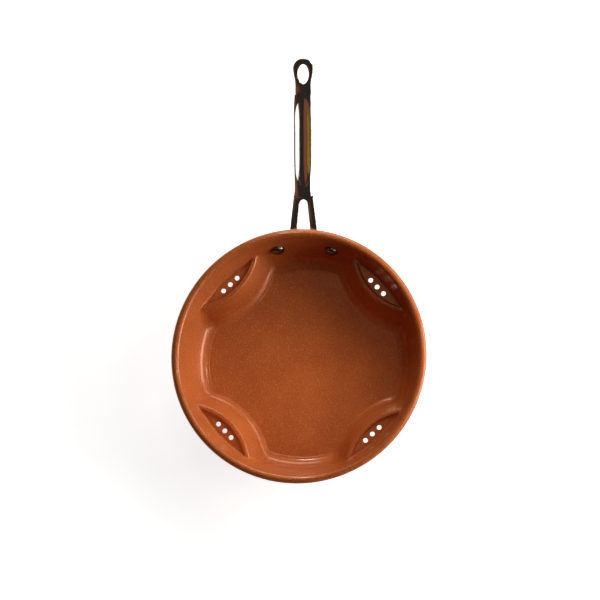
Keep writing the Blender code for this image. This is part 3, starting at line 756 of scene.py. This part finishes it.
def coating_material(name, light, deep, look, groups, flecks):
    """Sparkling copper coating: cloudy tone, gold flecks and a fine tooth under a clear gloss."""
    material, tree, shader = new_material(
        name, light, look.coating_metallic, look.coating_coat, look.gloss_roughness
    )
    shader.inputs["Specular IOR Level"].default_value = look.coating_shine
    link = tree.links.new
    place = add_node(tree, "ShaderNodeTexCoord").outputs["Object"]
    cloud = place_group(tree, groups["mottle"], place, Scale=look.cloud_scale)
    tone = add_node(tree, "ShaderNodeMix", data_type="RGBA")
    link(cloud.outputs["Value"], tone.inputs["Factor"])
    tone.inputs["A"].default_value = (*deep, 1.0)
    tone.inputs["B"].default_value = (*light, 1.0)
    last = tone
    for scale, part, reach in flecks:
        grain = place_group(tree, groups["fleck"], place, Scale=scale, Share=part, Size=reach)
        strength = add_node(tree, "ShaderNodeMath", operation="MULTIPLY")
        link(grain.outputs["Mask"], strength.inputs[0])
        link(grain.outputs["Tone"], strength.inputs[1])
        mix = add_node(tree, "ShaderNodeMix", data_type="RGBA")
        link(strength.outputs[0], mix.inputs["Factor"])
        link(last.outputs["Result"], mix.inputs["A"])
        mix.inputs["B"].default_value = (*look.fleck, 1.0)
        last = mix
    link(last.outputs["Result"], shader.inputs["Base Color"])
    tooth = place_group(
        tree,
        groups["mottle"],
        place,
        Scale=look.tooth_scale,
        Low=look.coating_smooth,
        High=look.coating_rough,
        Bump=look.tooth_strength,
        Depth=look.tooth_depth,
    )
    link(tooth.outputs["Value"], shader.inputs["Roughness"])
    link(tooth.outputs["Normal"], shader.inputs["Normal"])
    return material


def steel_material(name, base, roughness, spread, stretch, look):
    """Steel with faint polishing lines; stretch is how fine they are along each axis."""
    material, tree, shader = new_material(name, base, 1.0)
    link = tree.links.new
    place = add_node(tree, "ShaderNodeTexCoord").outputs["Object"]
    turned = add_node(tree, "ShaderNodeMapping", scale=stretch)
    link(place, turned.inputs["Vector"])
    lines = place_group(
        tree,
        shared_groups()["mottle"],
        turned.outputs["Vector"],
        Scale=look.line_scale,
        Low=roughness - spread,
        High=roughness + spread,
        Bump=look.line_strength,
        Depth=look.line_depth,
    )
    link(lines.outputs["Value"], shader.inputs["Roughness"])
    link(lines.outputs["Normal"], shader.inputs["Normal"])
    return material


def plate_material(look, groups):
    """Turned steel: rings round the middle over a cloudy brushed tone."""
    material, tree, shader = new_material("turned_plate_steel", look.plate, 1.0)
    link = tree.links.new
    place = add_node(tree, "ShaderNodeTexCoord").outputs["Object"]
    rings = add_node(
        tree,
        "ShaderNodeTexWave",
        wave_type="RINGS",
        rings_direction="Z",
        scale=look.ring_scale,
        distortion=0.6,
    )
    link(place, rings.inputs["Vector"])
    bump = add_node(
        tree, "ShaderNodeBump", strength=look.ring_strength, distance=look.ring_depth
    )
    link(rings.outputs["Fac"], bump.inputs["Height"])
    link(bump.outputs["Normal"], shader.inputs["Normal"])
    cloud = place_group(
        tree, groups["mottle"], place, Scale=60.0, Low=look.plate_smooth, High=look.plate_rough
    )
    link(cloud.outputs["Value"], shader.inputs["Roughness"])
    return material


def shared_groups():
    """The node groups that several materials use, built once."""
    builders = {"fleck": ("Flecks", fleck_group), "mottle": ("Mottle", mottle_group)}
    found = {}
    for key, (name, build) in builders.items():
        found[key] = bpy.data.node_groups.get(name) or build()
    return found


def handle_steel(look):
    """The polished steel that the bracket, the grip and the ring share, with lines along it."""
    name = "polished_steel"
    stretch = (1.0, look.line_stretch, 1.0)
    return bpy.data.materials.get(name) or steel_material(
        name, look.steel, look.steel_roughness, look.steel_spread, stretch, look
    )


# Frames of the handle's pieces


def handle_frame(handle):
    """Frame of the handle's line: Y along it from the rim, Z out of its top."""
    start = Matrix.Translation((0.0, RIM_RADIUS, CREST - handle.drop))
    return start @ Matrix.Rotation(handle.rise, 4, "X")


def rivet_turn(handle, surface):
    """Angle between the handle's line and a rivet, seen from the pan's middle."""
    radius = surface.wall_radius(surface.depth - handle.rivet_depth)
    return math.asin(0.5 * handle.rivet_spacing / radius)


def rivet_frame(side, handle, surface):
    """Frame at a rivet's place on the cooking side, with Z pointing into the pan."""
    angle = 0.5 * math.pi - side * rivet_turn(handle, surface)
    height = surface.depth - handle.rivet_depth
    radius = surface.wall_radius(height)
    place = Vector((radius * math.cos(angle), radius * math.sin(angle), surface.floor_top + height))
    lean = math.sin(surface.pan.wall_angle)
    lift = math.cos(surface.pan.wall_angle)
    inwards = Vector((-math.cos(angle) * lean, -math.sin(angle) * lean, lift))
    return Matrix.Translation(place) @ inwards.to_track_quat("Z", "Y").to_matrix().to_4x4()


def rivet_tool(side, handle, surface):
    """Pin that opens a rivet's hole through the wall or the saddle."""
    radius = handle.rivet_shank + handle.gap
    bm = bmesh.new()
    add_cone(bm, RIVET_HOLE_SEGMENTS, radius, radius, -RIVET_PIN_REACH, RIVET_PIN_REACH)
    return object_from_bmesh("rivet_hole_tool", bm, rivet_frame(side, handle, surface))


# Outlines in the handle's own plane


def fork_outline(handle):
    """The fork, from the tang's end round the shoulder and the legs to the slot's arch."""
    tangent = math.tan(handle.leg_splay)
    slot_top = handle.fork_length - handle.slot_crown
    arch = slot_top - handle.slot_radius
    root = -handle.leg_root
    inner_root = handle.slot_radius + (arch - root) * tangent
    half = [
        (handle.tang_half_width, handle.fork_length + handle.tang_length),
        (handle.tang_half_width, handle.fork_length),
        (handle.shoulder_half_width, handle.fork_length),
        (handle.shoulder_half_width, handle.fork_length - handle.shoulder_length),
        (inner_root + handle.leg_width, root),
        (inner_root, root),
    ]
    return with_mirror(half + quarter_arc(arch, handle.slot_radius, handle.slot_radius, ARC_STEPS))


def ring_start(handle):
    return handle.fork_length + handle.grip_length + 2.0 * handle.gap


def ring_outline(handle):
    """The end fitting: a tang, a neck and a round end."""
    start = ring_start(handle)
    neck = handle.ring_neck_half_width
    centre = start + handle.ring_reach - handle.ring_half_width
    half = [
        (handle.tang_half_width, start - handle.tang_length),
        (handle.tang_half_width, start),
        (neck, start),
    ]
    neck_end = start + handle.ring_neck_length
    for step in range(ARC_STEPS):
        part = step / ARC_STEPS
        width = neck + (handle.ring_half_width - neck) * float(smooth_step(part))
        half.append((width, neck_end + part * (centre - neck_end)))
    end = quarter_arc(centre, handle.ring_half_width, handle.ring_half_width, ARC_STEPS)
    return with_mirror(half + end)


def eye_outline(handle):
    centre = ring_start(handle) + handle.eye_centre
    turns = [2.0 * math.pi * step / EYE_STEPS for step in range(EYE_STEPS)]
    return [
        (handle.eye_half_width * math.cos(bend), centre + handle.eye_half_length * math.sin(bend))
        for bend in turns
    ]


def flat_plate(name, outlines, thickness, bevel, handle):
    """Plate with rounded edges from closed outlines in the handle's plane."""
    curve = bpy.data.curves.new(name, "CURVE")
    curve.dimensions = "2D"
    curve.fill_mode = "BOTH"
    curve.extrude = 0.5 * thickness - bevel
    curve.bevel_depth = bevel
    curve.bevel_resolution = BEVEL_RESOLUTION
    curve.offset = -bevel
    for outline in outlines:
        spline = curve.splines.new("POLY")
        spline.points.add(len(outline) - 1)
        for point, (x, y) in zip(spline.points, outline):
            point.co = (x, y, 0.0, 1.0)
        spline.use_cyclic_u = True
    source = bpy.data.objects.new(name, curve)
    bpy.context.scene.collection.objects.link(source)
    bpy.context.view_layer.update()
    graph = bpy.context.evaluated_depsgraph_get()
    mesh = bpy.data.meshes.new_from_object(source.evaluated_get(graph))
    bm = bmesh.new()
    bm.from_mesh(mesh)
    bpy.data.objects.remove(source, do_unlink=True)
    bpy.data.meshes.remove(mesh)
    return object_from_bmesh(name, bm, handle_frame(handle))


def saddle_plate(handle, surface):
    """Plate that follows the outside of the wall, with rounded corners and edges."""
    top = surface.depth - handle.saddle_top_depth
    bottom = top - handle.saddle_height
    lean = handle.saddle_thickness / math.sin(surface.pan.wall_angle)
    inner = [surface.outer_wall_radius(height) + handle.gap for height in (top, bottom)]
    half_turn = rivet_turn(handle, surface) + handle.saddle_margin / surface.shelf_wall
    corners = (
        (inner[0], top),
        (inner[0] + lean, top),
        (inner[1] + lean, bottom),
        (inner[1], bottom),
    )
    start = Matrix.Rotation(0.5 * math.pi - half_turn, 4, "Z")
    bm = bmesh.new()
    verts = [bm.verts.new(start @ Vector((r, 0.0, surface.floor_top + z))) for r, z in corners]
    first = bm.faces.new(verts)
    made = spin_round(bm, [first], 2.0 * half_turn, SADDLE_STEPS, False)
    caps = {first, *(item for item in made if isinstance(item, bmesh.types.BMFace))}
    level = [
        edge
        for face in caps
        for edge in face.edges
        if abs((edge.verts[0].co - edge.verts[1].co).z) < MERGE_DISTANCE
    ]
    bmesh.ops.bevel(
        bm,
        geom=level,
        offset=handle.saddle_corner,
        segments=SADDLE_CORNER_STEPS,
        profile=0.5,
        affect="EDGES",
        material=-1,
    )
    return object_from_bmesh("fork_bracket", bm)


def wall_tool(handle, surface):
    """Cone of the outside of the wall, with the gap that the bracket keeps to it."""
    low_radius = surface.outer_wall_radius(-surface.floor_top) + handle.gap
    high_radius = surface.outer_wall_radius(surface.depth) + handle.gap
    bm = bmesh.new()
    add_cone(bm, WALL_SEGMENTS, low_radius, high_radius, 0.0, surface.floor_top + surface.depth)
    return object_from_bmesh("wall_tool", bm)


# The grip


def grip_size(part):
    """Half width and half height of the grip, on a smooth curve through its stations."""
    shares, widths, heights = (np.array(column) for column in zip(*GRIP_STATIONS))
    found = []
    for values in (widths, heights):
        slopes = np.gradient(values, shares)
        last = len(shares) - 2
        index = int(np.clip(np.searchsorted(shares, part, side="right") - 1, 0, last))
        span = shares[index + 1] - shares[index]
        u = (part - shares[index]) / span
        found.append(
            (2 * u**3 - 3 * u**2 + 1) * values[index]
            + (u**3 - 2 * u**2 + u) * span * slopes[index]
            + (3 * u**2 - 2 * u**3) * values[index + 1]
            + (u**3 - u**2) * span * slopes[index + 1]
        )
    return found


def groove_drop(x, part, handle):
    """How far the thumb groove, a long spoon shape, lowers the top of the grip."""
    middle = 0.5 * (handle.groove_start + handle.groove_end)
    along = (part - middle) / (handle.groove_end - middle)
    spread = math.sqrt(max(1.0 - along**4, 0.0001))
    across = max(1.0 - (x / (spread * handle.groove_half_width)) ** 2, 0.0)
    return handle.groove_depth * spread**2 * across


def grip_point(bend, part, side, handle):
    """Point of the grip's outer surface; side is 1 for the top half and -1 for the bottom."""
    half_width, half_height = grip_size(part)
    squareness = handle.top_squareness if side > 0 else handle.bottom_squareness
    across = abs(math.cos(bend))
    x = half_width * math.cos(bend)
    z = half_height * max(1.0 - across**squareness, 0.0) ** (1.0 / squareness)
    if side > 0:
        z -= groove_drop(x, part, handle) * min(1.0, z / (0.5 * half_height))
    y = handle.fork_length + handle.gap + part * handle.grip_length
    return x, y, side * (z + 0.5 * handle.gap)


def grip_half(name, side, handle):
    """One pressed half: an open surface drawn along the handle and given its sheet."""
    turns = [math.pi * step / GRIP_ACROSS_STEPS for step in range(GRIP_ACROSS_STEPS + 1)]
    bm = bmesh.new()
    verts = [bm.verts.new(grip_point(bend, 0.0, side, handle)) for bend in turns]
    chain = [bm.edges.new(pair) for pair in zip(verts, verts[1:])]
    for along in range(1, GRIP_ALONG_STEPS + 1):
        made = bmesh.ops.extrude_edge_only(bm, edges=chain)["geom"]
        row = sorted(
            (item for item in made if isinstance(item, bmesh.types.BMVert)),
            key=lambda vert: -vert.co.x,
        )
        for vert, bend in zip(row, turns):
            vert.co = grip_point(bend, along / GRIP_ALONG_STEPS, side, handle)
        chain = [item for item in made if isinstance(item, bmesh.types.BMEdge)]
    bmesh.ops.recalc_face_normals(bm, faces=bm.faces)
    if sum(face.normal.z for face in bm.faces) * side < 0.0:
        bmesh.ops.reverse_faces(bm, faces=bm.faces)
    bmesh.ops.solidify(bm, geom=bm.faces, thickness=handle.grip_sheet)
    return object_from_bmesh(name, bm, handle_frame(handle))


# Operators


class StrainerPanOperator:
    """What the operators share."""

    bl_options = {"REGISTER", "UNDO"}

    @property
    def settings(self):
        return bpy.context.scene.strainer_pan

    @property
    def surface(self):
        return CookingSurface(self.settings.pan, self.settings.strainer)


class STRAINERPAN_OT_shell(StrainerPanOperator, bpy.types.Operator):
    """Build the coated pan with its lip, strainer pockets and drain holes"""

    bl_idname = "strainer_pan.shell"
    bl_label = "Pan Shell"

    def execute(self, context):
        surface = self.surface
        pan = surface.pan
        look = self.settings.finish
        handle = self.settings.handle
        bm, row_layer = spin_profile(surface.section(math.pi / STRAINER_COUNT), pan.sections)
        shape_sheet(bm, row_layer, surface)
        # Faces of the outside rows get the second material, the darker painted-shade outside coating.
        for face in bm.faces:
            face.material_index = int(min(vert[row_layer] for vert in face.verts) >= pan.inner_rows)
        shell = object_from_bmesh("pan_shell", bm)
        tools = [(drain_tool(surface), "DIFFERENCE")]
        tools += [(rivet_tool(side, handle, surface), "DIFFERENCE") for side in (-1, 1)]
        groups = shared_groups()
        inside = coating_material(
            "copper_coating",
            look.coating,
            look.coating_deep,
            look,
            groups,
            INSIDE_FLECKS,
        )
        # The outside coating is painted shade: a much darker copper than the inside.
        outside = coating_material(
            "copper_coating_outside",
            look.painted_shade_outside_coating,
            [look.outside_depth * value for value in look.painted_shade_outside_coating],
            look,
            groups,
            OUTSIDE_FLECKS,
        )
        finish_piece(shell, "pan_body", "coated_shell", inside, outside)
        apply_booleans(shell, tools)
        return {"FINISHED"}


class STRAINERPAN_OT_base_plate(StrainerPanOperator, bpy.types.Operator):
    """Build the steel plate under the floor"""

    bl_idname = "strainer_pan.base_plate"
    bl_label = "Base Plate"

    def execute(self, context):
        bm = bmesh.new()
        add_cone(bm, PLATE_SEGMENTS, PLATE_RADIUS, PLATE_RADIUS, 0.0, PLATE_THICKNESS)
        caps = [face for face in bm.faces if abs(face.normal.z) > 0.5]
        bmesh.ops.bevel(
            bm,
            geom=[edge for face in caps for edge in face.edges],
            offset=self.settings.pan.plate_bevel,
            segments=EDGE_STEPS,
            profile=0.5,
            affect="EDGES",
            material=-1,
        )
        plate = object_from_bmesh("induction_plate", bm)
        material = plate_material(self.settings.finish, shared_groups())
        finish_piece(plate, "base_plate", "induction_plate", material)
        return {"FINISHED"}


class STRAINERPAN_OT_rivets(StrainerPanOperator, bpy.types.Operator):
    """Build the two rivets with their domed heads and tails"""

    bl_idname = "strainer_pan.rivets"
    bl_label = "Rivets"

    def profile(self, handle, sheet):
        """Half section from the dome inside the pan down to the tail outside the saddle."""
        dome = quarter_arc(
            handle.rivet_head_gap, handle.rivet_head, handle.rivet_head_height, DOME_STEPS
        )
        tail_top = -(sheet + handle.saddle_thickness + 2.0 * handle.gap)
        tail_end = tail_top - handle.rivet_tail_height
        return dome[::-1] + [
            (handle.rivet_shank, handle.rivet_head_gap),
            (handle.rivet_shank, tail_top),
            (handle.rivet_tail, tail_top),
            (handle.rivet_tail, tail_top - 0.4 * handle.rivet_tail_height),
            (0.85 * handle.rivet_tail, tail_top - 0.8 * handle.rivet_tail_height),
            (0.6 * handle.rivet_tail, tail_end),
            (0.0, tail_end),
        ]

    def execute(self, context):
        handle = self.settings.handle
        surface = self.surface
        look = self.settings.finish
        even = (1.0, 1.0, 1.0)
        # The rivets' very dark steel colour is painted shade.
        material = steel_material(
            "rivet_steel", look.rivet, look.rivet_roughness, look.rivet_spread, even, look
        )
        for label, side in (("left", -1), ("right", 1)):
            bm, _ = spin_profile(self.profile(handle, surface.pan.sheet), RIVET_SEGMENTS)
            rivet = object_from_bmesh(f"domed_rivet_{label}", bm, rivet_frame(side, handle, surface))
            finish_piece(rivet, f"rivet_{label}", "rivet_steel", material)
        return {"FINISHED"}


class STRAINERPAN_OT_bracket(StrainerPanOperator, bpy.types.Operator):
    """Build the saddle on the wall with the fork that carries the grip"""

    bl_idname = "strainer_pan.bracket"
    bl_label = "Fork Bracket"

    def execute(self, context):
        handle = self.settings.handle
        surface = self.surface
        bracket = saddle_plate(handle, surface)
        fork = flat_plate(
            "fork_tool", [fork_outline(handle)], handle.fork_thickness, handle.fork_bevel, handle
        )
        tools = [(fork, "UNION"), (wall_tool(handle, surface), "DIFFERENCE")]
        tools += [(rivet_tool(side, handle, surface), "DIFFERENCE") for side in (-1, 1)]
        steel = handle_steel(self.settings.finish)
        finish_piece(bracket, "handle_bracket", "polished_steel", steel)
        apply_booleans(bracket, tools)
        return {"FINISHED"}


class STRAINERPAN_OT_grip(StrainerPanOperator, bpy.types.Operator):
    """Build the two halves of the hollow grip, with the thumb groove in the upper one"""

    bl_idname = "strainer_pan.grip"
    bl_label = "Grip"

    def execute(self, context):
        handle = self.settings.handle
        steel = handle_steel(self.settings.finish)
        for label, side in (("top", 1), ("bottom", -1)):
            half = grip_half(f"grip_{label}", side, handle)
            finish_piece(half, f"grip_{label}_shell", "polished_steel", steel)
        return {"FINISHED"}


class STRAINERPAN_OT_hang_ring(StrainerPanOperator, bpy.types.Operator):
    """Build the end fitting with the hanging eye"""

    bl_idname = "strainer_pan.hang_ring"
    bl_label = "Hang Ring"

    def execute(self, context):
        handle = self.settings.handle
        outlines = [ring_outline(handle), eye_outline(handle)]
        ring = flat_plate(
            "hanging_eye", outlines, handle.ring_thickness, handle.ring_bevel, handle
        )
        steel = handle_steel(self.settings.finish)
        finish_piece(ring, "hang_ring", "polished_steel", steel)
        return {"FINISHED"}


class STRAINERPAN_OT_stage(StrainerPanOperator, bpy.types.Operator):
    """Build the pale floor, the lamps and the camera"""

    bl_idname = "strainer_pan.stage"
    bl_label = "Stage"

    def floor(self, stage):
        bm = bmesh.new()
        bmesh.ops.create_grid(bm, x_segments=1, y_segments=1, size=stage.floor_size)
        ground = object_from_bmesh("floor", bm)
        material, _, shader = new_material("pale_floor", stage.floor, 0.0)
        shader.inputs["Roughness"].default_value = stage.floor_roughness
        shader.inputs["Emission Color"].default_value = (*stage.floor, 1.0)
        shader.inputs["Emission Strength"].default_value = stage.floor_glow
        ground.data.materials.append(material)

    def lamp(self, name, place, aim, width, length, tint, watts):
        light = bpy.data.lights.new(name, "AREA")
        light.shape = "RECTANGLE"
        light.size = width
        light.size_y = length
        light.energy = watts
        light.color = tint
        lamp = bpy.data.objects.new(name, light)
        bpy.context.scene.collection.objects.link(lamp)
        lamp.location = place
        lamp.rotation_euler = (Vector(aim) - Vector(place)).to_track_quat("-Z", "Y").to_euler()
        return lamp

    def lamps(self, stage):
        for name, place, aim, width, length, tint, matt, gloss in LAMPS:
            lamp = self.lamp(name, place, aim, width, length, tint, getattr(stage, name))
            lamp.visible_diffuse = matt
            lamp.visible_glossy = gloss
        bpy.data.lights["top_lamp"].spread = stage.top_spread

    def camera(self, stage):
        """Camera almost straight above, leaning to the right and away from the handle."""
        lean = Vector((stage.lean_right, -stage.lean_near, 0.0))
        lean.z = math.sqrt(1.0 - lean.length_squared)
        right = Vector((0.0, 1.0, 0.0)).cross(lean).normalized()
        axes = Matrix((right, lean.cross(right), lean)).transposed()
        data = bpy.data.cameras.new("camera")
        camera = bpy.data.objects.new("camera", data)
        bpy.context.scene.collection.objects.link(camera)
        camera.location = Vector((0.0, 0.0, stage.aim_height)) + lean * stage.distance
        camera.rotation_euler = (axes @ Matrix.Rotation(stage.roll, 3, "Z")).to_euler()
        data.lens = data.sensor_width * stage.distance / stage.view_width
        data.shift_x = stage.shift_right
        data.shift_y = stage.shift_up
        data.clip_end = stage.clip_end
        bpy.context.scene.camera = camera

    def execute(self, context):
        stage = self.settings.stage
        self.floor(stage)
        self.lamps(stage)
        self.camera(stage)
        world = bpy.data.worlds.new("dim_room")
        world.use_nodes = True
        air = world.node_tree.nodes["Background"]
        air.inputs["Color"].default_value = (*stage.air_tint, 1.0)
        air.inputs["Strength"].default_value = stage.air
        context.scene.world = world
        context.scene.view_settings.view_transform = "Standard"
        return {"FINISHED"}


class STRAINERPAN_PT_sidebar(bpy.types.Panel):
    """Builds the pan piece by piece"""

    bl_idname = "STRAINERPAN_PT_sidebar"
    bl_label = "Strainer Pan"
    bl_space_type = "VIEW_3D"
    bl_region_type = "UI"
    bl_category = "Pan"

    def draw(self, context):
        for operator in OPERATORS:
            self.layout.operator(operator.bl_idname)


OPERATORS = (
    STRAINERPAN_OT_shell,
    STRAINERPAN_OT_base_plate,
    STRAINERPAN_OT_rivets,
    STRAINERPAN_OT_bracket,
    STRAINERPAN_OT_grip,
    STRAINERPAN_OT_hang_ring,
    STRAINERPAN_OT_stage,
)
SETTINGS = (PanSizes, StrainerSizes, HandleSizes, Finishes, StageLook, StrainerPanSettings)
CLASSES = SETTINGS + OPERATORS + (STRAINERPAN_PT_sidebar,)


def register():
    for cls in CLASSES:
        bpy.utils.register_class(cls)
    bpy.types.Scene.strainer_pan = PointerProperty(type=StrainerPanSettings)


def unregister():
    del bpy.types.Scene.strainer_pan
    for cls in reversed(CLASSES):
        bpy.utils.unregister_class(cls)


def main():
    register()
    bpy.ops.strainer_pan.shell()
    bpy.ops.strainer_pan.base_plate()
    bpy.ops.strainer_pan.rivets()
    bpy.ops.strainer_pan.bracket()
    bpy.ops.strainer_pan.grip()
    bpy.ops.strainer_pan.hang_ring()
    bpy.ops.strainer_pan.stage()


if __name__ == "__main__":
    main()
